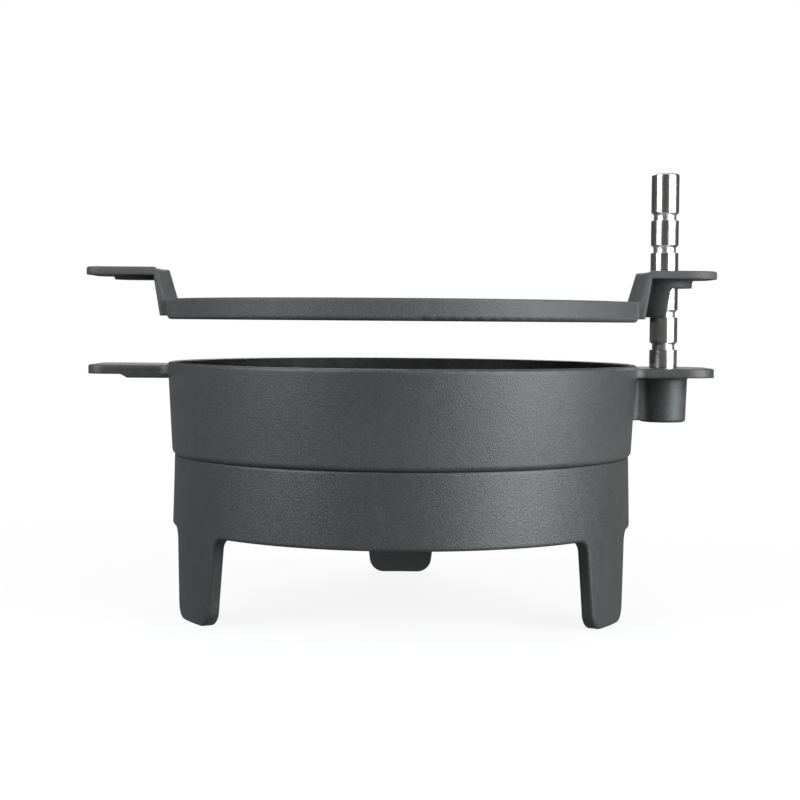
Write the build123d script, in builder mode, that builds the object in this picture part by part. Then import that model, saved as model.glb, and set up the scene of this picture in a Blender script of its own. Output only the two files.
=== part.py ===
"""Round cast-iron table grill: fire bowl on a three-legged base ring, with a cooking grate on a notched post.

Millimetres. +Z is up, the origin is on the table under the bowl's axis, and +X points at the post.
"""

from build123d import *
from math import cos, hypot, radians, sin
import os

os.makedirs("parts", exist_ok=True)

# ------------------------------------------------------------------ driving dimensions
# Heights above the table
RING_BOTTOM_Z = 61.6
SEAM_Z = 112.3
RIM_Z = 178.0
GRATE_BOTTOM_Z = 208.5
GRATE_TOP_Z = 223.0
HANDLE_TOP_Z = 245.7
POST_TOP_Z = 316.8

# Base ring and legs
RING_TOP_R = 164.9
RING_BOTTOM_R = 166.2
LEG_FOOT_R = 166.8
BASE_INNER_R = 158.5
LEG_ANGLES = (90, 210, 330)
LEG_HALF_WIDTH_TOP = 31.8
LEG_HALF_WIDTH_FOOT = 24.2

# Fire bowl
BOWL_RIM_R = 170.1
BOWL_FOOT_R = 166.6
BOWL_RIM_INNER_R = 164.3
BOWL_FLOOR_INNER_R = 161.3
FLOOR_THICKNESS = 6.0
FLOOR_TOP_Z = SEAM_Z + FLOOR_THICKNESS

# Ears, handles and everything on the post's axis
SIDE_WIDTH = 70.0
EAR_TIP_X = 225.5
EAR_BOTTOM_Z = 169.2
EAR_THICKNESS = 6.5
HANDLE_TIP_X = 226.6
HANDLE_THICKNESS = 5.7
POST_X = 191.0
POST_R = 10.0
RUNNING_GAP = 0.08

# Notches in the post
NOTCH_COUNT = 5
NOTCH_PITCH = 23.5
TOP_SHOULDER_Z = 282.9
NOTCH_ROOT_R = 8.15
NOTCH_ROOT_HEIGHT = 3.9
REST_SHOULDER_Z = TOP_SHOULDER_Z - 3 * NOTCH_PITCH

# Air slots in the bowl's floor and in the damper disc
SLOT_COUNT = 6
SLOT_FIRST_ANGLE = 45
SLOT_MID_R = 72.0
SLOT_WIDTH = 20.0
SLOT_SPAN = 11.0
DISC_R = 105.0
DISC_THICKNESS = 1.5
LEVER_ANGLE = 255


POST_AXIS = Axis((POST_X, 0, 0), (0, 0, 1))


def radial_plane(angle):
    """Vertical plane facing outwards at an angle: local x runs round the bowl and local y runs up."""
    turn = radians(angle)
    return Plane(origin=(0, 0, 0), x_dir=(-sin(turn), cos(turn), 0), z_dir=(cos(turn), sin(turn), 0))


def section_plane(angle):
    """Vertical plane through the bowl's axis at an angle: local x is the radius and local y runs up."""
    turn = radians(angle)
    return Plane(origin=(0, 0, 0), x_dir=(cos(turn), sin(turn), 0), z_dir=(sin(turn), -cos(turn), 0))


def post_plane(height):
    """Level plane centred on the post's axis."""
    return Plane(origin=(POST_X, 0, height), x_dir=(1, 0, 0), z_dir=(0, 0, 1))


def near(value, target, margin=0.05):
    """True where a measure is as good as its target."""
    return abs(value - target) < margin


def edges_at(piece, height):
    """The edges of a piece whose middle lies at a height."""
    return piece.edges().filter_by(lambda edge: near(edge.center().Z, height))


def air_slots(mode):
    """Kidney slots in a ring, added to or cut from the sketch that is being drawn."""
    for index in range(SLOT_COUNT):
        middle = SLOT_FIRST_ANGLE + index * 360 / SLOT_COUNT
        arc = CenterArc((0, 0), SLOT_MID_R, middle - SLOT_SPAN / 2, SLOT_SPAN, mode=Mode.PRIVATE)
        SlotArc(arc.edge(), SLOT_WIDTH, mode=mode)


# ------------------------------------------------------------------ base ring with three legs
BLANK_R = 200.0
FOOT_CORNER_R = 12.0
LEG_ROOT_R = 8.5
BRACKET_TOP_Z = 72.0
BRACKET_TIP_R = 112.0
BRACKET_WIDTH = 16.0
BRACKET_ROOT_R = 160.0
BRACKET_TIP_HEIGHT = 5.0
RING_EDGE_R = 1.2
LEG_EDGE_R = 2.0
NIB_INNER_R = 127.2
NIB_OUTER_R = 132.0
NIB_HEIGHT = 6.0
LEG_BAND_HALF_WIDTH = 60.0
LEG_BAND_TOP_Z = 75.0



def on_outer_lower_edge(edge):
    """True where an edge follows the outside of the legs or of the ring's lower rim."""
    points = [edge @ step for step in (0, 0.5, 1)]
    return all(hypot(point.X, point.Y) > RING_TOP_R + 0.5 and point.Z < RING_BOTTOM_Z + 1 for point in points)


with BuildPart() as base_casting:
    with BuildSketch(Plane.XY.offset(RING_BOTTOM_Z)):
        Circle(BLANK_R)
    extrude(amount=SEAM_Z - RING_BOTTOM_Z)
    for leg_angle in LEG_ANGLES:
        with BuildSketch(radial_plane(leg_angle)) as leg_outline:
            with BuildLine():
                Polyline(
                    (-LEG_BAND_HALF_WIDTH, LEG_BAND_TOP_Z),
                    (-LEG_BAND_HALF_WIDTH, RING_BOTTOM_Z),
                    (-LEG_HALF_WIDTH_TOP, RING_BOTTOM_Z),
                    (-LEG_HALF_WIDTH_FOOT, 0),
                    (LEG_HALF_WIDTH_FOOT, 0),
                    (LEG_HALF_WIDTH_TOP, RING_BOTTOM_Z),
                    (LEG_BAND_HALF_WIDTH, RING_BOTTOM_Z),
                    (LEG_BAND_HALF_WIDTH, LEG_BAND_TOP_Z),
                    close=True,
                )
            make_face()
            corners = leg_outline.vertices().group_by(Axis.Y)
            fillet(corners[0], FOOT_CORNER_R)
            roots = leg_outline.vertices().group_by(Axis.Y)[-2].sort_by(Axis.X)
            fillet(roots[1:-1], LEG_ROOT_R)
        extrude(amount=BLANK_R)
    # Ring and legs are trimmed to one thin conical shell
    with BuildSketch(Plane.XZ):
        with BuildLine():
            Polyline(
                (BASE_INNER_R, SEAM_Z),
                (RING_TOP_R, SEAM_Z),
                (RING_BOTTOM_R, RING_BOTTOM_Z),
                (LEG_FOOT_R, 0),
                (BASE_INNER_R, 0),
                close=True,
            )
        make_face()
    revolve(axis=Axis.Z, mode=Mode.INTERSECT)

    # Top edge of the ring, then the legs and the ring's lower edge
    fillet(edges_at(base_casting, SEAM_Z).sort_by(SortBy.LENGTH)[-1], RING_EDGE_R)
    fillet(base_casting.edges().filter_by(on_outer_lower_edge), LEG_EDGE_R)
    # Three inner brackets carry the ash pan, each with a nib that keeps it centred
    for bracket_angle in LEG_ANGLES:
        with BuildSketch(section_plane(bracket_angle)):
            with BuildLine():
                Polyline(
                    (BRACKET_TIP_R, BRACKET_TOP_Z),
                    (NIB_INNER_R, BRACKET_TOP_Z),
                    (NIB_INNER_R, BRACKET_TOP_Z + NIB_HEIGHT),
                    (NIB_OUTER_R, BRACKET_TOP_Z + NIB_HEIGHT),
                    (NIB_OUTER_R, BRACKET_TOP_Z),
                    (BRACKET_ROOT_R, BRACKET_TOP_Z),
                    (BRACKET_ROOT_R, RING_BOTTOM_Z + 1),
                    (BRACKET_TIP_R, BRACKET_TOP_Z - BRACKET_TIP_HEIGHT),
                    close=True,
                )
            make_face()
        extrude(amount=BRACKET_WIDTH / 2, both=True)

base_casting.part.label = "base_casting"
export_step(base_casting.part, "parts/base_casting.step")

# ------------------------------------------------------------------ ash pan
PAN_SHEET = 1.2
PAN_FOOT_R = 117.0
PAN_RIM_R = 123.0
PAN_HEIGHT = 20.0
PAN_CORNER_R = 5.0
PAN_CURL_R = 2.0

with BuildPart() as ash_pan:
    with BuildSketch(Plane.XZ):
        with BuildLine() as pan_line:
            pan_corner = (PAN_FOOT_R, BRACKET_TOP_Z)
            pan_path = FilletPolyline(
                (0, BRACKET_TOP_Z),
                pan_corner,
                (PAN_RIM_R, BRACKET_TOP_Z + PAN_HEIGHT),
                radius=PAN_CORNER_R,
            )
            offset(pan_path, amount=PAN_SHEET, side=Side.LEFT)
        make_face()
    revolve(axis=Axis.Z)
    # Rolled rim
    with BuildSketch(Plane.XZ):
        with Locations((PAN_RIM_R + PAN_SHEET / 2, BRACKET_TOP_Z + PAN_HEIGHT)):
            Circle(PAN_CURL_R)
    revolve(axis=Axis.Z)

ash_pan.part.label = "ash_pan"
export_step(ash_pan.part, "parts/ash_pan.step")

# ------------------------------------------------------------------ fire bowl
BOWL_FOOT_EDGE_R = 3.7
BOWL_RIM_EDGE_R = 1.8
BOWL_INNER_CORNER_R = 6.0
SPIGOT_OUTER_R = 156.6
SPIGOT_INNER_R = 151.5
SPIGOT_HEIGHT = 5.0
EAR_CORNER_LEFT_R = 12.0
EAR_CORNER_RIGHT_R = 21.0
EAR_ROOT_X = 150.0
EAR_WALL_R = 169.4
EAR_FLARE_R = 9.0
EAR_EDGE_R = 1.5
BOSS_TOP_R = 17.8
BOSS_BOTTOM_Z = 136.3
BOSS_BOTTOM_R = 16.7
BOSS_EDGE_R = 2.0
NECK_BOTTOM_Z = 137.6
NECK_WIDTH = 22.0
NECK_ROOT_R = 4.0
EAR_ROOT_R = 2.5
RIM_INNER_EDGE_R = 1.5
THICK_ROOT_X = 200.5
THICK_ROOT_SLOPE = 4.5
THICK_ROOT_DEPTH = 2.6
THICK_ROOT_EDGE_R = 2.0
SOCKET_FLOOR_Z = 149.3
RECESS_R = 9.2
RECESS_DEPTH = 8.0
POST_SCREW_HOLE_R = 4.4
PIVOT_HOLE_R = 4.2
LUG_ANGLES = (0, 90, 180, 270)
LUG_INNER_R = 142.0
LUG_WIDTH = 16.0
LUG_TOP_Z = 128.0

with BuildPart() as fire_bowl:
    with BuildSketch(Plane.XZ) as bowl_section:
        with BuildLine():
            Polyline(
                (0, SEAM_Z),
                (BOWL_FOOT_R, SEAM_Z),
                (BOWL_RIM_R, RIM_Z),
                (0, RIM_Z),
                close=True,
            )
        make_face()
        fillet(bowl_section.vertices().group_by(Axis.Y)[0].sort_by(Axis.X)[-1], BOWL_FOOT_EDGE_R)
        fillet(bowl_section.vertices().group_by(Axis.Y)[-1].sort_by(Axis.X)[-1], BOWL_RIM_EDGE_R)
    revolve(axis=Axis.Z)
    # Side ears, with the post's socket below the right one and a thick root on the left one
    for side, corner_r in ((1, EAR_CORNER_RIGHT_R), (-1, EAR_CORNER_LEFT_R)):
        with BuildSketch(Plane.XY.offset(EAR_BOTTOM_Z)) as ear_outline:
            Circle(EAR_WALL_R)
            with Locations((side * EAR_TIP_X / 2, 0)):
                Rectangle(EAR_TIP_X, SIDE_WIDTH)
            tips = ear_outline.vertices().filter_by(lambda corner: abs(corner.X) > EAR_TIP_X - 1)
            fillet(tips, corner_r)
            roots = ear_outline.vertices().filter_by(
                lambda corner: near(abs(corner.Y), SIDE_WIDTH / 2) and abs(corner.X) < EAR_WALL_R
            )
            fillet(roots, EAR_FLARE_R)
        extrude(amount=EAR_THICKNESS)
    ear_tops = fire_bowl.edges().filter_by(
        lambda edge: abs(edge.center().Z - EAR_BOTTOM_Z - EAR_THICKNESS) < 0.1 and abs(edge.center().X) > 175
    )
    fillet(ear_tops, EAR_EDGE_R)
    with BuildSketch(Plane.XZ) as boss_section:
        with BuildLine():
            Polyline(
                (POST_X, BOSS_BOTTOM_Z),
                (POST_X + BOSS_BOTTOM_R, BOSS_BOTTOM_Z),
                (POST_X + BOSS_TOP_R, EAR_BOTTOM_Z + 1),
                (POST_X, EAR_BOTTOM_Z + 1),
                close=True,
            )
        make_face()
        fillet(boss_section.vertices().group_by(Axis.Y)[0].sort_by(Axis.X)[-1], BOSS_EDGE_R)
    revolve(axis=POST_AXIS)
    with BuildSketch(Plane.XY.offset(NECK_BOTTOM_Z)):
        with Locations(((POST_X + EAR_ROOT_X) / 2, 0)):
            Rectangle(POST_X - EAR_ROOT_X, NECK_WIDTH)
    extrude(amount=EAR_BOTTOM_Z - NECK_BOTTOM_Z)
    neck_sides = fire_bowl.edges().filter_by(
        lambda edge: near(abs(edge.center().Y), NECK_WIDTH / 2, 1) and edge.center().X > BOWL_FOOT_R
        and edge.length > 20
    )
    fillet(neck_sides, NECK_ROOT_R)
    below_right_ear = edges_at(fire_bowl, EAR_BOTTOM_Z).filter_by(
        lambda edge: 0 < edge.center().X < POST_X + BOSS_TOP_R + EAR_ROOT_R
        and abs(edge.center().Y) < SIDE_WIDTH / 2 - 0.5
    )
    fillet(below_right_ear, EAR_ROOT_R)
    with BuildSketch(Plane.XZ) as thick_root:
        with BuildLine():
            Polyline(
                (-EAR_ROOT_X, EAR_BOTTOM_Z + 1),
                (-THICK_ROOT_X, EAR_BOTTOM_Z + 1),
                (-THICK_ROOT_X, EAR_BOTTOM_Z),
                (-THICK_ROOT_X + THICK_ROOT_SLOPE, EAR_BOTTOM_Z - THICK_ROOT_DEPTH),
                (-EAR_ROOT_X, EAR_BOTTOM_Z - THICK_ROOT_DEPTH),
                close=True,
            )
        make_face()
        fillet(thick_root.vertices().group_by(Axis.Y)[0].sort_by(Axis.X)[0], THICK_ROOT_EDGE_R)
    extrude(amount=SIDE_WIDTH / 2, both=True)
    # Hollow
    with BuildSketch(Plane.XZ) as hollow_section:
        with BuildLine():
            Polyline(
                (0, FLOOR_TOP_Z),
                (BOWL_FLOOR_INNER_R, FLOOR_TOP_Z),
                (BOWL_RIM_INNER_R, RIM_Z),
                (BOWL_RIM_INNER_R, RIM_Z + 1),
                (0, RIM_Z + 1),
                close=True,
            )
        make_face()
        fillet(hollow_section.vertices().group_by(Axis.Y)[0].sort_by(Axis.X)[-1], BOWL_INNER_CORNER_R)
    revolve(axis=Axis.Z, mode=Mode.SUBTRACT)
    fillet(edges_at(fire_bowl, RIM_Z).sort_by(SortBy.LENGTH)[0], RIM_INNER_EDGE_R)
    # Spigot that drops inside the base ring
    with BuildSketch(Plane.XY.offset(SEAM_Z)):
        Circle(SPIGOT_OUTER_R)
        Circle(SPIGOT_INNER_R, mode=Mode.SUBTRACT)
    extrude(amount=-SPIGOT_HEIGHT)
    # Lugs that carry the charcoal grate
    for lug_angle in LUG_ANGLES:
        with BuildSketch(section_plane(lug_angle)):
            with BuildLine():
                Polyline(
                    (LUG_INNER_R, FLOOR_TOP_Z - 1),
                    (LUG_INNER_R, LUG_TOP_Z),
                    (BOWL_FLOOR_INNER_R + 2, LUG_TOP_Z),
                    (BOWL_FLOOR_INNER_R + 2, FLOOR_TOP_Z - 1),
                    close=True,
                )
            make_face()
        extrude(amount=LUG_WIDTH / 2, both=True)
    # Air slots and pivot hole in the floor
    with BuildSketch(Plane.XY.offset(SEAM_Z)):
        air_slots(Mode.ADD)
        Circle(PIVOT_HOLE_R)
    extrude(amount=FLOOR_THICKNESS, mode=Mode.SUBTRACT)
    # Socket, screw hole and recess on the post's axis
    with BuildSketch(post_plane(SOCKET_FLOOR_Z)):
        Circle(POST_R + RUNNING_GAP)
    extrude(amount=RIM_Z - SOCKET_FLOOR_Z, mode=Mode.SUBTRACT)
    with BuildSketch(post_plane(BOSS_BOTTOM_Z)):
        Circle(RECESS_R)
    extrude(amount=RECESS_DEPTH, mode=Mode.SUBTRACT)
    with BuildSketch(post_plane(BOSS_BOTTOM_Z)):
        Circle(POST_SCREW_HOLE_R)
    extrude(amount=SOCKET_FLOOR_Z - BOSS_BOTTOM_Z, mode=Mode.SUBTRACT)

fire_bowl.part.label = "fire_bowl"
export_step(fire_bowl.part, "parts/fire_bowl.step")

# ------------------------------------------------------------------ damper under the bowl's floor
DISC_TOP_Z = SEAM_Z - 0.2
DISC_BOTTOM_Z = DISC_TOP_Z - DISC_THICKNESS
PIVOT_R = 4.0
LEVER_THICKNESS = 2.5
LEVER_WIDTH = 18.0
LEVER_START_R = 32.0
LEVER_BEND_R = 141.0
LEVER_TAB_BOTTOM_Z = 68.0
LEVER_BEND_INNER_R = 3.0
RIVET_RADII = (44.0, 92.0)
RIVET_R = 2.5
RIVET_HEAD_R = 4.5
RIVET_HEAD_HEIGHT = 1.6
LEVER_CORNER_R = 4.0
THREAD_CHAMFER = 0.8
RIVET_PLACES = [
    (radius * cos(radians(LEVER_ANGLE)), radius * sin(radians(LEVER_ANGLE))) for radius in RIVET_RADII
]

with BuildPart() as damper_disc:
    with BuildSketch(Plane.XY.offset(DISC_BOTTOM_Z)):
        Circle(DISC_R)
        air_slots(Mode.SUBTRACT)
        Circle(PIVOT_R + RUNNING_GAP, mode=Mode.SUBTRACT)
        with Locations(*RIVET_PLACES):
            Circle(RIVET_R, mode=Mode.SUBTRACT)
    extrude(amount=DISC_THICKNESS)

damper_disc.part.label = "damper_disc"
export_step(damper_disc.part, "parts/damper_disc.step")

with BuildPart() as damper_lever:
    with BuildSketch(section_plane(LEVER_ANGLE)):
        with BuildLine():
            lever_path = FilletPolyline(
                (LEVER_START_R, DISC_BOTTOM_Z),
                (LEVER_BEND_R, DISC_BOTTOM_Z),
                (LEVER_BEND_R, LEVER_TAB_BOTTOM_Z),
                radius=LEVER_BEND_INNER_R + LEVER_THICKNESS,
            )
            offset(lever_path, amount=LEVER_THICKNESS, side=Side.RIGHT)
        make_face()
    extrude(amount=LEVER_WIDTH / 2, both=True)
    fillet(damper_lever.edges().filter_by(lambda edge: abs(edge.length - LEVER_THICKNESS) < 0.01), LEVER_CORNER_R)
    with BuildSketch(Plane.XY.offset(DISC_BOTTOM_Z)):
        with Locations(*RIVET_PLACES):
            Circle(RIVET_R)
    extrude(amount=-LEVER_THICKNESS, mode=Mode.SUBTRACT)

damper_lever.part.label = "damper_lever"
export_step(damper_lever.part, "parts/damper_lever.step")

with BuildPart() as damper_rivets:
    with BuildSketch(Plane.XY.offset(DISC_TOP_Z)):
        with Locations(*RIVET_PLACES):
            Circle(RIVET_R)
    extrude(amount=-(DISC_THICKNESS + LEVER_THICKNESS))
    with BuildSketch(Plane.XY.offset(DISC_BOTTOM_Z - LEVER_THICKNESS)):
        with Locations(*RIVET_PLACES):
            Circle(RIVET_HEAD_R)
    extrude(amount=-RIVET_HEAD_HEIGHT)
    chamfer(damper_rivets.edges().group_by(Axis.Z)[0], RIVET_HEAD_HEIGHT * 0.6)

damper_rivets.part.label = "damper_rivets"
export_step(damper_rivets.part, "parts/damper_rivets.step")

# ------------------------------------------------------------------ damper pivot
SCREW_HEAD_HEIGHT = 5.3
SCREW_HEAD_FLAT_R = 6.5
WASHER_THICKNESS = 1.6
WASHER_R = 12.0
WASHER_HOLE_R = 4.2
SPRING_WASHER_THICKNESS = 2.0
SPRING_WASHER_R = 7.4
SPRING_WASHER_SLIT = 1.6
NUT_HEIGHT = 6.5
THREAD_ROOT_R = 3.5
WASHER_BOTTOM_Z = DISC_BOTTOM_Z - WASHER_THICKNESS
SPRING_WASHER_BOTTOM_Z = WASHER_BOTTOM_Z - SPRING_WASHER_THICKNESS
NUT_BOTTOM_Z = SPRING_WASHER_BOTTOM_Z - NUT_HEIGHT
SCREW_END_Z = NUT_BOTTOM_Z - 2.0

with BuildPart() as damper_screw:
    with BuildSketch(Plane.XY.offset(FLOOR_TOP_Z)):
        RegularPolygon(SCREW_HEAD_FLAT_R, 6, major_radius=False)
    extrude(amount=SCREW_HEAD_HEIGHT)
    with BuildSketch(Plane.XY.offset(SCREW_END_Z)):
        Circle(PIVOT_R)
    extrude(amount=FLOOR_TOP_Z - SCREW_END_Z)
    chamfer(damper_screw.edges().group_by(Axis.Z)[0], THREAD_CHAMFER)

damper_screw.part.label = "damper_screw"
export_step(damper_screw.part, "parts/damper_screw.step")

with BuildPart() as damper_washer:
    with BuildSketch(Plane.XY.offset(WASHER_BOTTOM_Z)):
        Circle(WASHER_R)
        Circle(WASHER_HOLE_R, mode=Mode.SUBTRACT)
    extrude(amount=WASHER_THICKNESS)

damper_washer.part.label = "damper_washer"
export_step(damper_washer.part, "parts/damper_washer.step")

with BuildPart() as damper_spring_washer:
    with BuildSketch(Plane.XY.offset(SPRING_WASHER_BOTTOM_Z)):
        Circle(SPRING_WASHER_R)
        Circle(WASHER_HOLE_R, mode=Mode.SUBTRACT)
        with Locations((SPRING_WASHER_R, 0)):
            Rectangle(2 * SPRING_WASHER_R, SPRING_WASHER_SLIT, mode=Mode.SUBTRACT)
    extrude(amount=SPRING_WASHER_THICKNESS)

damper_spring_washer.part.label = "damper_spring_washer"
export_step(damper_spring_washer.part, "parts/damper_spring_washer.step")

with BuildPart() as damper_nut:
    with BuildSketch(Plane.XY.offset(NUT_BOTTOM_Z)):
        RegularPolygon(SCREW_HEAD_FLAT_R, 6, major_radius=False)
        Circle(THREAD_ROOT_R, mode=Mode.SUBTRACT)
    extrude(amount=NUT_HEIGHT)

damper_nut.part.label = "damper_nut"
export_step(damper_nut.part, "parts/damper_nut.step")

# ------------------------------------------------------------------ charcoal grate
COAL_GRATE_R = 150.0
COAL_GRATE_THICKNESS = 7.0
COAL_GRATE_RIM = 9.0
COAL_SLOT_WIDTH = 9.0
COAL_SLOT_PITCH = 18.0
COAL_SLOT_COUNT = 15
COAL_RIB_WIDTH = 14.0
COAL_GRATE_EDGE_R = 1.5

with BuildPart() as charcoal_grate:
    with BuildSketch(Plane.XY.offset(LUG_TOP_Z)):
        Circle(COAL_GRATE_R)
    extrude(amount=COAL_GRATE_THICKNESS)
    fillet(charcoal_grate.edges(), COAL_GRATE_EDGE_R)
    with BuildSketch(Plane.XY.offset(LUG_TOP_Z)):
        with GridLocations(0, COAL_SLOT_PITCH, 1, COAL_SLOT_COUNT):
            Rectangle(2 * COAL_GRATE_R, COAL_SLOT_WIDTH)
        Circle(COAL_GRATE_R - COAL_GRATE_RIM, mode=Mode.INTERSECT)
        Rectangle(COAL_RIB_WIDTH, 2 * COAL_GRATE_R, mode=Mode.SUBTRACT)
    extrude(amount=COAL_GRATE_THICKNESS, mode=Mode.SUBTRACT)

charcoal_grate.part.label = "charcoal_grate"
export_step(charcoal_grate.part, "parts/charcoal_grate.step")

# ------------------------------------------------------------------ notched post
POST_TOP_CHAMFER = 1.0
NOTCH_TOP_HEIGHT = NOTCH_ROOT_HEIGHT + POST_R - NOTCH_ROOT_R
TAPPED_DEPTH = 20.0


def post_outline():
    """Half outline of the post as (distance from its axis, height), from the foot up."""
    points = [(0, SOCKET_FLOOR_Z), (POST_R, SOCKET_FLOOR_Z)]
    for index in reversed(range(NOTCH_COUNT)):
        shoulder = TOP_SHOULDER_Z - index * NOTCH_PITCH
        points.append((POST_R, shoulder))
        points.append((NOTCH_ROOT_R, shoulder))
        points.append((NOTCH_ROOT_R, shoulder + NOTCH_ROOT_HEIGHT))
        points.append((POST_R, shoulder + NOTCH_TOP_HEIGHT))
    points.append((POST_R, POST_TOP_Z))
    points.append((0, POST_TOP_Z))
    return [(POST_X + radius, height) for radius, height in points]


with BuildPart() as post:
    with BuildSketch(Plane.XZ):
        with BuildLine():
            Polyline(*post_outline(), close=True)
        make_face()
    revolve(axis=POST_AXIS)
    chamfer(post.edges().group_by(Axis.Z)[-1], POST_TOP_CHAMFER)
    with BuildSketch(post_plane(SOCKET_FLOOR_Z)):
        Circle(THREAD_ROOT_R)
    extrude(amount=TAPPED_DEPTH, mode=Mode.SUBTRACT)

post.part.label = "post"
export_step(post.part, "parts/post.step")

# ------------------------------------------------------------------ screw under the post
POST_WASHER_R = 8.4
RECESS_ROOF_Z = BOSS_BOTTOM_Z + RECESS_DEPTH
POST_WASHER_Z = RECESS_ROOF_Z - WASHER_THICKNESS
LOCK_WASHER_Z = POST_WASHER_Z - SPRING_WASHER_THICKNESS
BUTTON_HEAD_R = 7.0
BUTTON_HEAD_EDGE = 2.0
HEX_KEY_FLAT_R = 2.5
HEX_KEY_DEPTH = 2.6
POST_SCREW_END_Z = SOCKET_FLOOR_Z + TAPPED_DEPTH - 3

with BuildPart() as post_screw:
    with BuildSketch(post_plane(BOSS_BOTTOM_Z)):
        Circle(BUTTON_HEAD_R)
    extrude(amount=LOCK_WASHER_Z - BOSS_BOTTOM_Z)
    chamfer(post_screw.edges().group_by(Axis.Z)[0], BUTTON_HEAD_EDGE)
    with BuildSketch(post_plane(LOCK_WASHER_Z)):
        Circle(PIVOT_R)
    extrude(amount=POST_SCREW_END_Z - LOCK_WASHER_Z)
    with BuildSketch(post_plane(BOSS_BOTTOM_Z)):
        RegularPolygon(HEX_KEY_FLAT_R, 6, major_radius=False)
    extrude(amount=HEX_KEY_DEPTH, mode=Mode.SUBTRACT)

post_screw.part.label = "post_screw"
export_step(post_screw.part, "parts/post_screw.step")

with BuildPart() as post_washer:
    with BuildSketch(post_plane(POST_WASHER_Z)):
        Circle(POST_WASHER_R)
        Circle(WASHER_HOLE_R, mode=Mode.SUBTRACT)
    extrude(amount=WASHER_THICKNESS)

post_washer.part.label = "post_washer"
export_step(post_washer.part, "parts/post_washer.step")

with BuildPart() as post_lock_washer:
    with BuildSketch(post_plane(LOCK_WASHER_Z)):
        Circle(SPRING_WASHER_R)
        Circle(WASHER_HOLE_R, mode=Mode.SUBTRACT)
        with Locations((SPRING_WASHER_R, 0)):
            Rectangle(2 * SPRING_WASHER_R, SPRING_WASHER_SLIT, mode=Mode.SUBTRACT)
    extrude(amount=SPRING_WASHER_THICKNESS)

post_lock_washer.part.label = "post_lock_washer"
export_step(post_lock_washer.part, "parts/post_lock_washer.step")

# ------------------------------------------------------------------ cooking grate
GRATE_R = 170.5
GRATE_INNER_R = 161.5
GRATE_FOOT_EDGE_R = 2.8
GRATE_TOP_EDGE_R = 1.2
BAR_COUNT = 19
BAR_PITCH = 17.0
BAR_TOP_WIDTH = 8.0
BAR_BOTTOM_WIDTH = 5.0
BAR_BOTTOM_Z = 210.5
SPINE_WIDTH = 8.0
SPINE_TOP_Z = 221.0
ARM_BOTTOM_Z = 211.0
ARM_OUTER_BOTTOM_R = 175.8
ARM_OUTER_TOP_R = 181.4
ARM_INNER_RING_R = 172.5
ARM_INNER_TOP_R = 179.0
ARM_ROOT_R = 163.0
ARM_CORNER_R = 1.6
HANDLE_CORNER_LEFT_R = 12.0
HANDLE_CORNER_RIGHT_R = 21.0
HANDLE_BOTTOM_Z = HANDLE_TOP_Z - HANDLE_THICKNESS
EYE_TOP_R = 20.4
EYE_BOTTOM_Z = 233.8
SLEEVE_FOOT_R = 18.6
SLEEVE_FOOT_X = 189.6
SLEEVE_TOP_X = 193.2
SLEEVE_FLARE_R = 4.0
GRATE_PAD_R = 20.0
GRATE_PAD_DEPTH = 2.9
PAD_DRAFT = 20
EYE_ROOT_R = 3.0
PLATE_EDGE_R = 1.6
REST_GAP = 0.1



def is_not_post_hole(edge):
    """True where an edge is anything but the rim of the hole that the post runs in."""
    return edge.geom_type != GeomType.CIRCLE or not near(edge.radius, POST_R + RUNNING_GAP)


def is_outer_part_of_circle(edge):
    """True where an edge is the outward part of a round pad or eye below a handle plate."""
    return edge.geom_type == GeomType.CIRCLE and abs(edge.center().X) > POST_X + 5 and near(edge.center().Y, 0)


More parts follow.
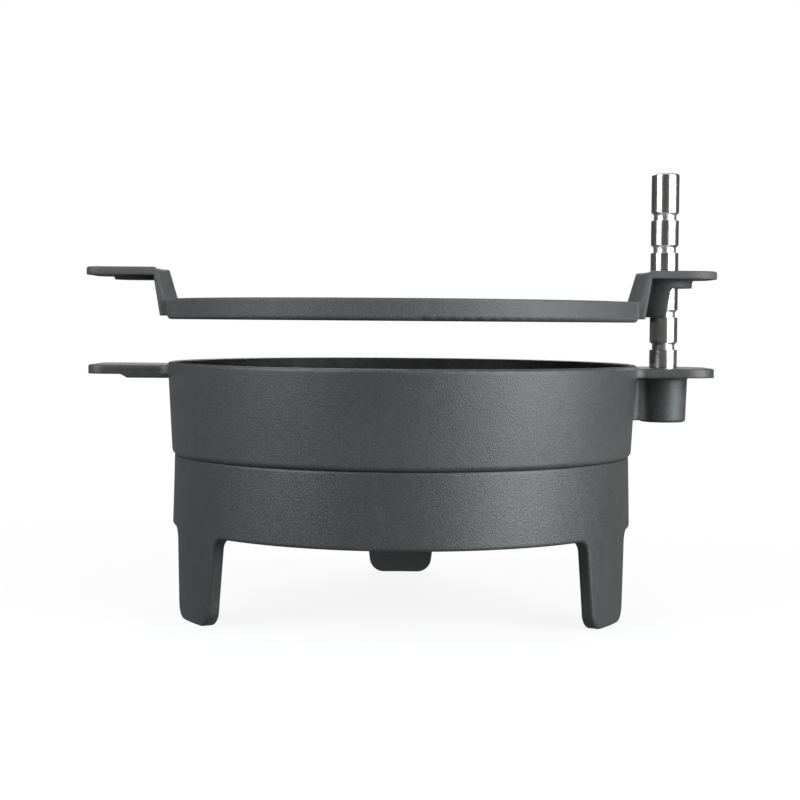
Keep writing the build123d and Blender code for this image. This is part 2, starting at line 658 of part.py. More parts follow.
with BuildPart() as handle_arms:
    # Two leaning walls, cut from one cone
    with BuildSketch(Plane.XZ):
        with BuildLine():
            Polyline(
                (ARM_ROOT_R, ARM_BOTTOM_Z),
                (ARM_OUTER_BOTTOM_R, ARM_BOTTOM_Z),
                (ARM_OUTER_TOP_R, HANDLE_TOP_Z),
                (ARM_INNER_TOP_R, HANDLE_TOP_Z),
                (ARM_INNER_RING_R, GRATE_TOP_Z),
                (ARM_ROOT_R, GRATE_TOP_Z),
                close=True,
            )
        make_face()
    revolve(axis=Axis.Z)
    with BuildSketch(Plane.XY.offset(ARM_BOTTOM_Z)):
        Rectangle(2 * HANDLE_TIP_X, SIDE_WIDTH)
    extrude(amount=HANDLE_TOP_Z - ARM_BOTTOM_Z, mode=Mode.INTERSECT)
    arm_corners = handle_arms.edges().filter_by(
        lambda edge: edge.length > 30 and abs(abs(edge.center().Y) - SIDE_WIDTH / 2) < 0.1
        and abs(edge.center().X) > ARM_OUTER_BOTTOM_R - 4
    )
    fillet(arm_corners, ARM_CORNER_R)
    # Handle plates, trimmed to the same leaning inner face
    for side, corner_r in ((1, HANDLE_CORNER_RIGHT_R), (-1, HANDLE_CORNER_LEFT_R)):
        with BuildSketch(Plane.XY.offset(HANDLE_BOTTOM_Z)) as plate_outline:
            with Locations((side * (HANDLE_TIP_X + EAR_ROOT_X) / 2, 0)):
                Rectangle(HANDLE_TIP_X - EAR_ROOT_X, SIDE_WIDTH)
            plate_tips = plate_outline.vertices().filter_by(lambda corner: abs(corner.X) > HANDLE_TIP_X - 1)
            fillet(plate_tips, corner_r)
        extrude(amount=HANDLE_THICKNESS)
    # Round pad below the left plate
    with BuildSketch(Plane.XY.offset(HANDLE_BOTTOM_Z)):
        with Locations((-POST_X, 0)):
            Circle(GRATE_PAD_R)
    extrude(amount=-GRATE_PAD_DEPTH, taper=PAD_DRAFT)
    fillet(edges_at(handle_arms, HANDLE_BOTTOM_Z).filter_by(is_outer_part_of_circle), EYE_ROOT_R)
    # Eye round the post; below its outer half it is cut away, and the rest bears on a notch
    with BuildSketch(Plane.XZ):
        with BuildLine():
            Polyline(
                (POST_X, REST_SHOULDER_Z + REST_GAP),
                (POST_X + SLEEVE_FOOT_R, REST_SHOULDER_Z + REST_GAP),
                (POST_X + EYE_TOP_R, HANDLE_BOTTOM_Z + 1),
                (POST_X, HANDLE_BOTTOM_Z + 1),
                close=True,
            )
        make_face()
    revolve(axis=POST_AXIS)
    with BuildSketch(Plane.XZ) as cut_below_eye:
        with BuildLine():
            Polyline(
                (SLEEVE_FOOT_X, REST_SHOULDER_Z),
                (SLEEVE_TOP_X, EYE_BOTTOM_Z),
                (HANDLE_TIP_X, EYE_BOTTOM_Z),
                (HANDLE_TIP_X, REST_SHOULDER_Z),
                close=True,
            )
        make_face()
        fillet(cut_below_eye.vertices().group_by(Axis.Y)[-1].sort_by(Axis.X)[0], SLEEVE_FLARE_R)
    extrude(amount=SIDE_WIDTH / 2, both=True, mode=Mode.SUBTRACT)
    eye_root = edges_at(handle_arms, HANDLE_BOTTOM_Z).filter_by(is_outer_part_of_circle)
    fillet(eye_root.filter_by(lambda edge: edge.center().X > 0), EYE_ROOT_R)
    # Everything inside the leaning inner faces is cut away
    with BuildSketch(Plane.XZ):
        with BuildLine():
            Polyline(
                (0, GRATE_TOP_Z),
                (ARM_INNER_RING_R, GRATE_TOP_Z),
                (ARM_INNER_TOP_R, HANDLE_TOP_Z),
                (0, HANDLE_TOP_Z),
                close=True,
            )
        make_face()
    revolve(axis=Axis.Z, mode=Mode.SUBTRACT)
    with BuildSketch(post_plane(REST_SHOULDER_Z)):
        Circle(POST_R + RUNNING_GAP)
    extrude(amount=HANDLE_TOP_Z - REST_SHOULDER_Z, mode=Mode.SUBTRACT)
    fillet(edges_at(handle_arms, HANDLE_TOP_Z).filter_by(is_not_post_hole), PLATE_EDGE_R)

with BuildPart() as cooking_grate:
    # Bars run front to back, with one spine from arm to arm
    with BuildSketch(Plane.XZ):
        for bar in range(BAR_COUNT):
            bar_x = (bar - (BAR_COUNT - 1) / 2) * BAR_PITCH
            with BuildLine():
                Polyline(
                    (bar_x - BAR_TOP_WIDTH / 2, GRATE_TOP_Z),
                    (bar_x + BAR_TOP_WIDTH / 2, GRATE_TOP_Z),
                    (bar_x + BAR_BOTTOM_WIDTH / 2, BAR_BOTTOM_Z),
                    (bar_x - BAR_BOTTOM_WIDTH / 2, BAR_BOTTOM_Z),
                    close=True,
                )
            make_face()
    extrude(amount=GRATE_R, both=True)
    with BuildSketch(Plane.XY.offset(BAR_BOTTOM_Z)):
        Rectangle(2 * GRATE_R, SPINE_WIDTH)
    extrude(amount=SPINE_TOP_Z - BAR_BOTTOM_Z)
    with BuildSketch(Plane.XY.offset(BAR_BOTTOM_Z)):
        Circle((GRATE_R + GRATE_INNER_R) / 2)
    extrude(amount=GRATE_TOP_Z - BAR_BOTTOM_Z, mode=Mode.INTERSECT)
    # Outer ring
    with BuildSketch(Plane.XZ) as ring_section:
        with BuildLine():
            Polyline(
                (GRATE_INNER_R, GRATE_BOTTOM_Z),
                (GRATE_R, GRATE_BOTTOM_Z),
                (GRATE_R, GRATE_TOP_Z),
                (GRATE_INNER_R, GRATE_TOP_Z),
                close=True,
            )
        make_face()
        fillet(ring_section.vertices().group_by(Axis.Y)[0].sort_by(Axis.X)[-1], GRATE_FOOT_EDGE_R)
        fillet(ring_section.vertices().group_by(Axis.Y)[-1].sort_by(Axis.X)[-1], GRATE_TOP_EDGE_R)
    revolve(axis=Axis.Z)
    add(handle_arms.part)

cooking_grate.part.label = "cooking_grate"
export_step(cooking_grate.part, "parts/cooking_grate.step")
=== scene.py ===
"""Studio scene for the round cast-iron table grill. Metres, in the CAD model's own frame."""

import math

import bpy
from mathutils import Matrix, Vector


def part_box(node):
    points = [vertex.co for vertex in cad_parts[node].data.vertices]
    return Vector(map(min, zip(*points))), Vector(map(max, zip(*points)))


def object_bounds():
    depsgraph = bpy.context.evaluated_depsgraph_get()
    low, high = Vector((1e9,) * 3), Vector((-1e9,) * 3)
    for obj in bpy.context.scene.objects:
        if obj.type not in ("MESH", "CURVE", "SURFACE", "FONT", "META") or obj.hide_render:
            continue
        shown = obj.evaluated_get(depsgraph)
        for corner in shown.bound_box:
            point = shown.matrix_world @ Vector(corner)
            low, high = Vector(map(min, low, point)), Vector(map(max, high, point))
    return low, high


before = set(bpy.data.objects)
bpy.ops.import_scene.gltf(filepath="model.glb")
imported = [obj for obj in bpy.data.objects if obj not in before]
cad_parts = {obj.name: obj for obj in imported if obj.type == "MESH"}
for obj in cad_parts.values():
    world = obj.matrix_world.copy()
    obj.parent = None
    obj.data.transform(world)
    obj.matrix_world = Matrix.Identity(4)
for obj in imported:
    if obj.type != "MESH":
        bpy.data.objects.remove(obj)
cad_low, cad_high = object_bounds()

MM = 0.001
UNIT = (0, 1)
# The middle of a noise's range, where most of it lies
MIDDLE = (0.35, 0.65)


# ------------------------------------------------------------------ node helpers
BEVEL_SAMPLES = 4
# Cosines of the turn between a face and its rounded edge: where the edge mask starts, and where it is full
EDGE_TURN = (0.995, 0.80)
# Distances from a pit's middle, as shares of the pits' spacing: its bottom and its rim
PIT_WALL = (0.05, 0.45)


def new_material(name):
    """An empty node material and its tree, with the surface shader joined to the output."""
    material = bpy.data.materials.new(name)
    material.use_nodes = True
    tree = material.node_tree
    tree.nodes.clear()
    shader = tree.nodes.new("ShaderNodeBsdfPrincipled")
    output = tree.nodes.new("ShaderNodeOutputMaterial")
    tree.links.new(shader.outputs["BSDF"], output.inputs["Surface"])
    return material, tree, shader


def plug(tree, socket, value):
    """Joins a socket to another one, or gives it a constant."""
    if isinstance(value, bpy.types.NodeSocket):
        tree.links.new(value, socket)
    else:
        socket.default_value = value


def place(tree):
    """A point's position in the part's own frame, in metres."""
    return tree.nodes.new("ShaderNodeTexCoord").outputs["Object"]


def separate(tree, vector):
    """The X, Y and Z of a position."""
    node = tree.nodes.new("ShaderNodeSeparateXYZ")
    plug(tree, node.inputs["Vector"], vector)
    return node.outputs["X"], node.outputs["Y"], node.outputs["Z"]


def stretched(tree, vector, scale):
    """The position, scaled along each axis, so that a texture runs longer one way."""
    node = tree.nodes.new("ShaderNodeMapping")
    plug(tree, node.inputs["Vector"], vector)
    node.inputs["Scale"].default_value = scale
    return node.outputs["Vector"]


def noise(tree, vector, size, detail, roughness):
    """Soft noise from 0 to 1 whose features are about `size` metres across."""
    node = tree.nodes.new("ShaderNodeTexNoise")
    plug(tree, node.inputs["Vector"], vector)
    node.inputs["Scale"].default_value = 1 / size
    node.inputs["Detail"].default_value = detail
    node.inputs["Roughness"].default_value = roughness
    return node.outputs["Fac"]


def pits(tree, vector, spacing):
    """0 at the middle of each small pit, rising to 1 between them."""
    node = tree.nodes.new("ShaderNodeTexVoronoi")
    node.feature = "F1"
    plug(tree, node.inputs["Vector"], vector)
    node.inputs["Scale"].default_value = 1 / spacing
    return remap(tree, node.outputs["Distance"], PIT_WALL, UNIT)


def remap(tree, value, source, target):
    """A value moved from one range to another, and kept inside it."""
    node = tree.nodes.new("ShaderNodeMapRange")
    node.clamp = True
    plug(tree, node.inputs["Value"], value)
    node.inputs["From Min"].default_value, node.inputs["From Max"].default_value = source
    node.inputs["To Min"].default_value, node.inputs["To Max"].default_value = target
    return node.outputs["Result"]


def maths(tree, operation, first, second=0.0):
    """One arithmetic step."""
    node = tree.nodes.new("ShaderNodeMath")
    node.operation = operation
    plug(tree, node.inputs[0], first)
    plug(tree, node.inputs[1], second)
    return node.outputs[0]


def weighted(tree, *pairs):
    """The sum of some values, each times its weight."""
    total = maths(tree, "MULTIPLY", *pairs[0])
    for value, weight in pairs[1:]:
        total = maths(tree, "ADD", total, maths(tree, "MULTIPLY", value, weight))
    return total


def axis_distance(tree, across, along):
    """The distance of a point from a vertical axis, from its two level coordinates."""
    squares = maths(tree, "MULTIPLY", across, across)
    squares = maths(tree, "ADD", squares, maths(tree, "MULTIPLY", along, along))
    return maths(tree, "SQRT", squares)


def blend_colours(tree, factor, first, second):
    """A colour between two. Each may be a constant or a colour socket."""
    node = tree.nodes.new("ShaderNodeMix")
    node.data_type = "RGBA"
    plug(tree, node.inputs["Factor"], factor)
    plug(tree, node.inputs["A"], first)
    plug(tree, node.inputs["B"], second)
    return node.outputs["Result"]


def grey(level, warmth=0.0):
    """A grey of a given linear level; warmth above 0 leans to brown, below 0 to blue."""
    return (level * (1 + warmth), level, level * (1 - warmth), 1.0)


def shade(level, tone):
    """A grey that is a share of a level, with its own warmth. A tone is (share, warmth)."""
    share, warmth = tone
    return grey(level * share, warmth)


def soft_edges(tree, radius):
    """(normal rounded over nearby edges, mask that is 1 on the edges themselves)."""
    bevel = tree.nodes.new("ShaderNodeBevel")
    bevel.samples = BEVEL_SAMPLES
    bevel.inputs["Radius"].default_value = radius
    geometry = tree.nodes.new("ShaderNodeNewGeometry")
    dot = tree.nodes.new("ShaderNodeVectorMath")
    dot.operation = "DOT_PRODUCT"
    plug(tree, dot.inputs[0], bevel.outputs["Normal"])
    plug(tree, dot.inputs[1], geometry.outputs["Normal"])
    mask = remap(tree, dot.outputs["Value"], EDGE_TURN, UNIT)
    return bevel.outputs["Normal"], mask


def bump(tree, height, depth, strength, normal):
    """A normal with a relief of a given depth in metres laid over it."""
    node = tree.nodes.new("ShaderNodeBump")
    node.inputs["Strength"].default_value = strength
    node.inputs["Distance"].default_value = depth
    plug(tree, node.inputs["Height"], height)
    plug(tree, node.inputs["Normal"], normal)
    return node.outputs["Normal"]


# ------------------------------------------------------------------ cast iron
GRAIN_SIZE = 0.95 * MM
COARSE_GRAIN_SIZE = 1.4 * MM
# Grit and pits go with the grain: grit is half its size, and pits are nearly two grains apart
GRIT_SHARE = 0.5
PIT_SPACING = 1.9
MOTTLE_SIZE = 11 * MM
CLOUD_SIZE = 75 * MM
IRON_EDGE_RADIUS = 2.2 * MM
IRON_RELIEF_DEPTH = 0.42 * MM
IRON_RELIEF_STRENGTH = 0.80
IRON_ROUGHNESS = 0.37
# How far the rubbed edges are lightened: partly real wear, partly a painted highlight along every edge
IRON_WEAR_AND_HIGHLIGHT = 0.75
# Tones of the iron: each a share of the casting's level, and a warmth
IRON_DARK = (0.74, -0.02)
IRON_LIGHT = (1.28, -0.01)
# The rubbed-edge tone: partly bare worn iron, partly a painted highlight
IRON_WORN_AND_HIGHLIGHT = (2.3, 0.01)
# A dark, slightly warm painted shade for the inside of the bowl's hollow
IRON_PAINTED_SHADE = (0.28, 0.05)
# The rubbed edges, lightened partly as a painted highlight, come and go with the mottle, down to this share
# of the full wear
WEAR_AND_HIGHLIGHT_LEAST = 0.30
WEAR_AND_HIGHLIGHT_RANGE = (0.40, 0.62)
IRON_TONE_RANGE = (0.38, 0.62)
# About what the uneven gloss adds on average, taken off again to leave the roughness asked for
GLOSS_OFFSET = 0.14
# The painted shade inside the bowl's hollow is duller than bare iron. It ends raggedly towards the rim, and
# stops at the hollow's floor
SHADED_HOLLOW_ROUGHNESS = 0.3
SHADE_RAGGEDNESS = 3 * MM
SHADE_OUTER_FADE = 1.5 * MM
SHADE_INNER_FADE = 0.5 * MM
SHADE_FLOOR_FADE = 1 * MM


def hollow_shade_mask(tree, where, mottle, radius, height):
    """Painted shade mask: 1 inside a round hollow on the Z axis, above a height, with a ragged boundary."""
    x, y, z = separate(tree, where)
    distance = axis_distance(tree, x, y)
    ragged = maths(tree, "ADD", distance, maths(tree, "MULTIPLY", mottle, SHADE_RAGGEDNESS))
    inside = remap(tree, ragged, (radius + SHADE_OUTER_FADE, radius - SHADE_INNER_FADE), UNIT)
    above = remap(tree, z, (height - SHADE_FLOOR_FADE, height), UNIT)
    return maths(tree, "MULTIPLY", inside, above)


def cast_iron(name, level, grain_size=GRAIN_SIZE, roughness=IRON_ROUGHNESS, wear_and_highlight=IRON_WEAR_AND_HIGHLIGHT, shaded_hollow=None):
    """Sand-cast iron under a thin black finish: sand grain, small pits, cloudy tone, rubbed edges lightened
    partly as a painted highlight, and optionally a painted shade inside a hollow.

    The last argument is (radius, height) of a hollow whose inside gets a painted shade, or None.
    """
    material, tree, shader = new_material(name)
    where = place(tree)
    grain = noise(tree, where, grain_size, detail=2.0, roughness=0.5)
    grit = noise(tree, where, grain_size * GRIT_SHARE, detail=1.0, roughness=0.5)
    hollows = pits(tree, where, grain_size * PIT_SPACING)
    mottle = noise(tree, where, MOTTLE_SIZE, detail=4.0, roughness=0.6)
    cloud = noise(tree, where, CLOUD_SIZE, detail=3.0, roughness=0.5)
    rounded, edge = soft_edges(tree, IRON_EDGE_RADIUS)
    # Rubbed edges lightened in colour: partly real wear, partly a painted highlight
    worn_and_highlight = maths(tree, "MULTIPLY", edge, remap(tree, mottle, WEAR_AND_HIGHLIGHT_RANGE, (WEAR_AND_HIGHLIGHT_LEAST * wear_and_highlight, wear_and_highlight)))

    tone = weighted(tree, (grain, 0.40), (grit, 0.25), (mottle, 0.15), (cloud, 0.20))
    tone = remap(tree, tone, IRON_TONE_RANGE, UNIT)
    colour = blend_colours(tree, tone, shade(level, IRON_DARK), shade(level, IRON_LIGHT))
    colour = blend_colours(tree, worn_and_highlight, colour, shade(level, IRON_WORN_AND_HIGHLIGHT))
    gloss = weighted(tree, (grain, 0.16), (cloud, 0.12), (worn_and_highlight, -0.08))
    gloss = maths(tree, "ADD", gloss, roughness - GLOSS_OFFSET)
    if shaded_hollow is not None:
        # Painted shade inside the bowl's hollow: darker and duller there
        painted_shade = hollow_shade_mask(tree, where, mottle, *shaded_hollow)
        colour = blend_colours(tree, painted_shade, colour, shade(level, IRON_PAINTED_SHADE))
        gloss = maths(tree, "ADD", gloss, maths(tree, "MULTIPLY", painted_shade, SHADED_HOLLOW_ROUGHNESS))
    plug(tree, shader.inputs["Base Color"], colour)
    plug(tree, shader.inputs["Roughness"], gloss)

    relief = weighted(tree, (grain, 0.50), (grit, 0.30), (hollows, 0.10), (mottle, 0.10))
    normal = bump(tree, relief, IRON_RELIEF_DEPTH, IRON_RELIEF_STRENGTH, rounded)
    plug(tree, shader.inputs["Normal"], normal)
    return material


# ------------------------------------------------------------------ polished bar
# Turning rings run round the bar, and handling marks run up it
RING_STRETCH = (0.02, 0.02, 1.0)
RING_SIZE = 0.22 * MM
MARK_STRETCH = (1.0, 1.0, 0.12)
MARK_SIZE = 1.1 * MM
HAZE_SIZE = 9 * MM
BAR_EDGE_RADIUS = 0.8 * MM
BAR_RELIEF_DEPTH = 0.006 * MM
BAR_RELIEF_STRENGTH = 0.30
BAR_ROUGHNESS = 0.14
BAR_DULL = grey(0.66, 0.006)
BAR_BRIGHT = grey(0.76, 0.008)
# A notch starts just under the bar's surface and is fully there a little deeper
NOTCH_START = 0.05 * MM
NOTCH_FULL = 0.25 * MM


def polished_bar(name, axis_x, full_radius):
    """Polished stainless bar: mirror land, hazier turned notches, fine rings and a few handling marks."""
    material, tree, shader = new_material(name)
    where = place(tree)
    x, y, _ = separate(tree, where)
    distance = axis_distance(tree, maths(tree, "SUBTRACT", x, axis_x), y)
    notch = remap(tree, distance, (full_radius - NOTCH_START, full_radius - NOTCH_FULL), UNIT)
    rings = noise(tree, stretched(tree, where, RING_STRETCH), RING_SIZE, detail=2.0, roughness=0.5)
    marks = noise(tree, stretched(tree, where, MARK_STRETCH), MARK_SIZE, detail=3.0, roughness=0.7)
    haze = noise(tree, where, HAZE_SIZE, detail=3.0, roughness=0.5)
    rounded, _ = soft_edges(tree, BAR_EDGE_RADIUS)

    polish = weighted(tree, (rings, 0.04), (haze, 0.06), (notch, 0.10))
    plug(tree, shader.inputs["Roughness"], maths(tree, "ADD", polish, BAR_ROUGHNESS))
    bright = remap(tree, weighted(tree, (haze, 0.6), (marks, 0.4)), MIDDLE, UNIT)
    plug(tree, shader.inputs["Base Color"], blend_colours(tree, bright, BAR_DULL, BAR_BRIGHT))
    relief = weighted(tree, (rings, 0.6), (marks, 0.4))
    normal = bump(tree, relief, BAR_RELIEF_DEPTH, BAR_RELIEF_STRENGTH, rounded)
    plug(tree, shader.inputs["Normal"], normal)
    shader.inputs["Metallic"].default_value = 1.0
    return material


# ------------------------------------------------------------------ painted and plated sheet
PEEL_SIZE = 1.6 * MM
DUST_SIZE = 40 * MM
PAINT_EDGE_RADIUS = 0.5 * MM
PAINT_RELIEF_DEPTH = 0.08 * MM
PAINT_RELIEF_STRENGTH = 0.35
PAINT_WEAR = 0.35
PAINT_CLEAN = (0.8, 0.0)
PAINT_DUSTY = (1.25, 0.02)
PAINT_DUST_RANGE = (0.3, 0.7)
PAINT_ROUGHNESS = (0.48, 0.62)
BARE_SHEET = grey(0.28)

BRUSH_SIZE = 0.35 * MM
PLATING_CLOUD_SIZE = 12 * MM
PLATED_EDGE_RADIUS = 0.3 * MM
PLATED_RELIEF_DEPTH = 0.03 * MM
PLATED_RELIEF_STRENGTH = 0.4
PLATED_WEAR = 0.4
PLATED_DARK = (0.85, 0.01)
PLATED_LIGHT = (1.1, 0.02)
PLATED_ROUGHNESS = (0.28, 0.42)
BARE_STEEL = grey(0.72)


def painted_sheet(name, level):
    """Pressed sheet steel with a matt heat-proof paint: orange peel, dust and rubbed edges."""
    material, tree, shader = new_material(name)
    where = place(tree)
    peel = noise(tree, where, PEEL_SIZE, detail=2.0, roughness=0.5)
    dust = noise(tree, where, DUST_SIZE, detail=4.0, roughness=0.6)
    rounded, edge = soft_edges(tree, PAINT_EDGE_RADIUS)
    colour = blend_colours(tree, dust, shade(level, PAINT_CLEAN), shade(level, PAINT_DUSTY))
    colour = blend_colours(tree, maths(tree, "MULTIPLY", edge, PAINT_WEAR), colour, BARE_SHEET)
    plug(tree, shader.inputs["Base Color"], colour)
    plug(tree, shader.inputs["Roughness"], remap(tree, dust, PAINT_DUST_RANGE, PAINT_ROUGHNESS))
    normal = bump(tree, peel, PAINT_RELIEF_DEPTH, PAINT_RELIEF_STRENGTH, rounded)
    plug(tree, shader.inputs["Normal"], normal)
    return material


def plated_steel(name, level, stretch):
    """Zinc-plated steel. Its fine lines run longest along the axis where the stretch is smallest."""
    material, tree, shader = new_material(name)
    where = place(tree)
    lines = noise(tree, stretched(tree, where, stretch), BRUSH_SIZE, detail=3.0, roughness=0.6)
    cloud = noise(tree, where, PLATING_CLOUD_SIZE, detail=4.0, roughness=0.6)
    rounded, edge = soft_edges(tree, PLATED_EDGE_RADIUS)
    tone = remap(tree, weighted(tree, (lines, 0.5), (cloud, 0.5)), MIDDLE, UNIT)
    colour = blend_colours(tree, tone, shade(level, PLATED_DARK), shade(level, PLATED_LIGHT))
    colour = blend_colours(tree, maths(tree, "MULTIPLY", edge, PLATED_WEAR), colour, BARE_STEEL)
    plug(tree, shader.inputs["Base Color"], colour)
    plug(tree, shader.inputs["Roughness"], remap(tree, tone, UNIT, PLATED_ROUGHNESS))
    normal = bump(tree, lines, PLATED_RELIEF_DEPTH, PLATED_RELIEF_STRENGTH, rounded)
    plug(tree, shader.inputs["Normal"], normal)
    shader.inputs["Metallic"].default_value = 1.0
    return material


# ------------------------------------------------------------------ which node gets which material
POST_LOW, POST_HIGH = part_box("post")
POST_X = (POST_LOW.x + POST_HIGH.x) / 2
POST_RADIUS = (POST_HIGH.x - POST_LOW.x) / 2

# The bowl's floor is this far under the charcoal grate, and its wall this far outside it
COAL_GRATE_LIFT = 9.7 * MM
COAL_GRATE_MARGIN = 14.5 * MM
COAL_GRATE_LOW, COAL_GRATE_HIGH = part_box("charcoal_grate")
FLOOR_TOP = COAL_GRATE_LOW.z - COAL_GRATE_LIFT
# Radius within which the bowl's inside gets a painted shade, above the floor's top
BOWL_SHADE_RADIUS = COAL_GRATE_HIGH.x + COAL_GRATE_MARGIN

IRON_LEVEL = 0.052
BASE_IRON_LEVEL = IRON_LEVEL * 0.84
GRATE_IRON_LEVEL = IRON_LEVEL * 1.08
COAL_GRATE_IRON_LEVEL = IRON_LEVEL * 0.75
PAN_PAINT_LEVEL = 0.035
DAMPER_ZINC_LEVEL = 0.55
FASTENER_ZINC_LEVEL = 0.60

BRUSHED_ALONG_X = (0.06, 1.0, 1.0)
UNBRUSHED = (1.0, 1.0, 1.0)


def make_finishes():
    """The material of each node that has one of its own."""
    # The bowl's hollow, whose inside gets a painted shade
    shaded_hollow = (BOWL_SHADE_RADIUS, FLOOR_TOP)
    return {
        "base_casting": cast_iron("base_iron", BASE_IRON_LEVEL, wear_and_highlight=1.0),
        "fire_bowl": cast_iron("bowl_iron", IRON_LEVEL, shaded_hollow=shaded_hollow),
        "cooking_grate": cast_iron("grate_iron", GRATE_IRON_LEVEL, roughness=0.56, wear_and_highlight=0.5),
        "charcoal_grate": cast_iron(
            "coal_grate_iron", COAL_GRATE_IRON_LEVEL, COARSE_GRAIN_SIZE, roughness=0.62, wear_and_highlight=0.35
        ),
        "post": polished_bar("post_steel", POST_X, POST_RADIUS),
        "ash_pan": painted_sheet("pan_paint", PAN_PAINT_LEVEL),
        "damper_disc": plated_steel("damper_zinc", DAMPER_ZINC_LEVEL, BRUSHED_ALONG_X),
        "damper_lever": plated_steel("lever_zinc", DAMPER_ZINC_LEVEL, BRUSHED_ALONG_X),
    }


def finish_nodes():
    """Gives every CAD node its material in place of the plain packed one. The rest are zinc fasteners."""
    finishes = make_finishes()
    fastener_finish = plated_steel("fastener_zinc", FASTENER_ZINC_LEVEL, UNBRUSHED)
    for name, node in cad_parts.items():
        node.data.materials.clear()
        node.data.materials.append(finishes.get(name, fastener_finish))


finish_nodes()


# ------------------------------------------------------------------ floor
FLOOR_HALF = 6.0
# A hair below the feet, so that the two surfaces don't fight
FLOOR_DROP = 0.1 * MM
# Distances from the middle: shadows are at their fullest within the first and gone past the second
FLOOR_NEAR = 0.30
FLOOR_FAR = 0.80
SHADOW_SHARE = 0.10
# The paper glows at 1 for the camera and at this for everything it lights
FLOOR_BOUNCE = 0.20
FLOOR_ROUGHNESS = 0.9
FIBRE_SIZE = 2.5 * MM
PAPER_DARK = grey(0.85)
PAPER_LIGHT = grey(0.87)


def mix_shaders(tree, factor, first, second):
    """A shader between two."""
    node = tree.nodes.new("ShaderNodeMixShader")
    plug(tree, node.inputs["Fac"], factor)
    tree.links.new(first, node.inputs[1])
    tree.links.new(second, node.inputs[2])
    return node.outputs["Shader"]


def floor_paper():
    """White paper: a faint contact shadow near the feet, plain white further out, clear from below."""
    material, tree, shader = new_material("floor_paper")
    where = place(tree)
    fibre = noise(tree, where, FIBRE_SIZE, detail=3.0, roughness=0.55)
    plug(tree, shader.inputs["Base Color"], blend_colours(tree, fibre, PAPER_DARK, PAPER_LIGHT))
    shader.inputs["Roughness"].default_value = FLOOR_ROUGHNESS
    shader.inputs["Specular IOR Level"].default_value = 0.0

    seen = tree.nodes.new("ShaderNodeLightPath").outputs["Is Camera Ray"]
    glow = tree.nodes.new("ShaderNodeEmission")
    plug(tree, glow.inputs["Strength"], remap(tree, seen, UNIT, (FLOOR_BOUNCE, 1.0)))
    length = tree.nodes.new("ShaderNodeVectorMath")
    length.operation = "LENGTH"
    plug(tree, length.inputs[0], where)
    shaded = remap(tree, length.outputs["Value"], (FLOOR_NEAR, FLOOR_FAR), (SHADOW_SHARE, 0))
    shaded = maths(tree, "MULTIPLY", shaded, seen)
    paper = mix_shaders(tree, shaded, glow.outputs["Emission"], shader.outputs["BSDF"])

    below = tree.nodes.new("ShaderNodeNewGeometry").outputs["Backfacing"]
    clear = tree.nodes.new("ShaderNodeBsdfTransparent")
    surface = mix_shaders(tree, below, paper, clear.outputs["BSDF"])
    output = next(node for node in tree.nodes if node.type == "OUTPUT_MATERIAL")
    tree.links.new(surface, output.inputs["Surface"])
    return material


def make_floor():
    """A large square sheet of paper under the feet."""
    mesh = bpy.data.meshes.new("floor")
    signs = ((-1, -1), (1, -1), (1, 1), (-1, 1))
    corners = [(x * FLOOR_HALF, y * FLOOR_HALF, -FLOOR_DROP) for x, y in signs]
    mesh.from_pydata(corners, [], [range(len(corners))])
    mesh.materials.append(floor_paper())
    floor = bpy.data.objects.new("floor", mesh)
    bpy.context.scene.collection.objects.link(floor)


make_floor()


# ------------------------------------------------------------------ light
WORLD_FILL = 0.02
ROOM_SHEEN = 0.075
ROOM_TINT = (1.0, 0.97, 0.90, 1.0)


def make_world():
    """A dim studio: little fill, a warm grey room in reflections, plain white where the camera looks past."""
    world = bpy.data.worlds.new("studio")
    world.use_nodes = True
    bpy.context.scene.world = world
    tree = world.node_tree
    tree.nodes.clear()
    rays = tree.nodes.new("ShaderNodeLightPath")
    room = tree.nodes.new("ShaderNodeBackground")
    room.inputs["Color"].default_value = ROOM_TINT
    strength = remap(tree, rays.outputs["Is Glossy Ray"], UNIT, (WORLD_FILL, ROOM_SHEEN))
    plug(tree, room.inputs["Strength"], strength)
    white = tree.nodes.new("ShaderNodeBackground")
    white.inputs["Color"].default_value = grey(1.0)
    sky = mix_shaders(
        tree, rays.outputs["Is Camera Ray"], room.outputs["Background"], white.outputs["Background"]
    )
    output = tree.nodes.new("ShaderNodeOutputWorld")
    tree.links.new(sky, output.inputs["Surface"])


AIM = Vector((0, 0, (cad_low[2] + cad_high[2]) / 2))
KEY_TINT = (0.95, 1.0, 1.0)
FILL_TINT = (0.96, 0.98, 1.04)
PLAIN_TINT = (1.0, 1.0, 1.0)


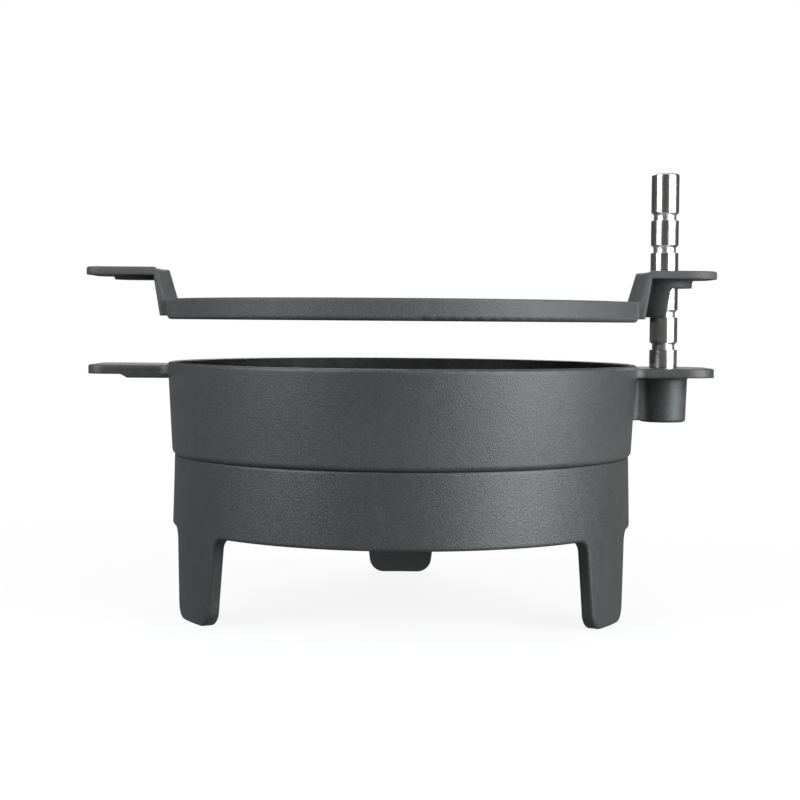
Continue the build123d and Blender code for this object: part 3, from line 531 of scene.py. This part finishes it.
def softbox(name, azimuth, elevation, distance, width, height, power, tint):
    """A large rectangular light. Azimuth 0 is the camera's side, and it grows towards +X."""
    turn = math.radians(azimuth)
    rise = math.radians(elevation)
    away = Vector((math.sin(turn) * math.cos(rise), -math.cos(turn) * math.cos(rise), math.sin(rise)))
    data = bpy.data.lights.new(name, "AREA")
    data.shape = "RECTANGLE"
    data.size = width
    data.size_y = height
    data.energy = power
    data.color = tint
    light = bpy.data.objects.new(name, data)
    light.location = AIM + away * distance
    light.rotation_euler = away.to_track_quat("Z", "Y").to_euler()
    bpy.context.scene.collection.objects.link(light)


def make_lights():
    """A strong box on the right, a softer one on the left, and faint ones above and behind."""
    softbox(
        "key_right", azimuth=58, elevation=10, distance=1.6,
        width=1.35, height=1.5, power=60, tint=KEY_TINT,
    )
    softbox(
        "fill_left", azimuth=-57, elevation=28, distance=1.6,
        width=1.05, height=1.4, power=28, tint=FILL_TINT,
    )
    softbox(
        "top", azimuth=0, elevation=88, distance=1.5,
        width=1.6, height=1.6, power=5, tint=PLAIN_TINT,
    )
    softbox(
        "back", azimuth=180, elevation=36, distance=1.8,
        width=1.0, height=1.0, power=14, tint=PLAIN_TINT,
    )


make_world()
make_lights()


# ------------------------------------------------------------------ camera
CAMERA_PLACE = (-0.0014, -1.2074, 0.20805)
# Degrees: how far the camera looks down, and how far it is tipped to one side
CAMERA_PITCH = 2.726
CAMERA_ROLL = 0.45
# An unturned camera looks straight down, so a level view is a quarter turn up
LEVEL_VIEW = 90
# Both in millimetres
LENS = 74.15
SENSOR = 36.0


def make_camera():
    """The view from the front, just above the bowl's rim and looking slightly down."""
    data = bpy.data.cameras.new("camera")
    data.lens = LENS
    data.sensor_width = SENSOR
    camera = bpy.data.objects.new("camera", data)
    tilt = Matrix.Rotation(math.radians(LEVEL_VIEW - CAMERA_PITCH), 4, "X")
    roll = Matrix.Rotation(math.radians(CAMERA_ROLL), 4, "Z")
    camera.matrix_world = Matrix.Translation(CAMERA_PLACE) @ tilt @ roll
    bpy.context.scene.collection.objects.link(camera)
    bpy.context.scene.camera = camera


make_camera()
bpy.context.scene.view_settings.view_transform = "Standard"
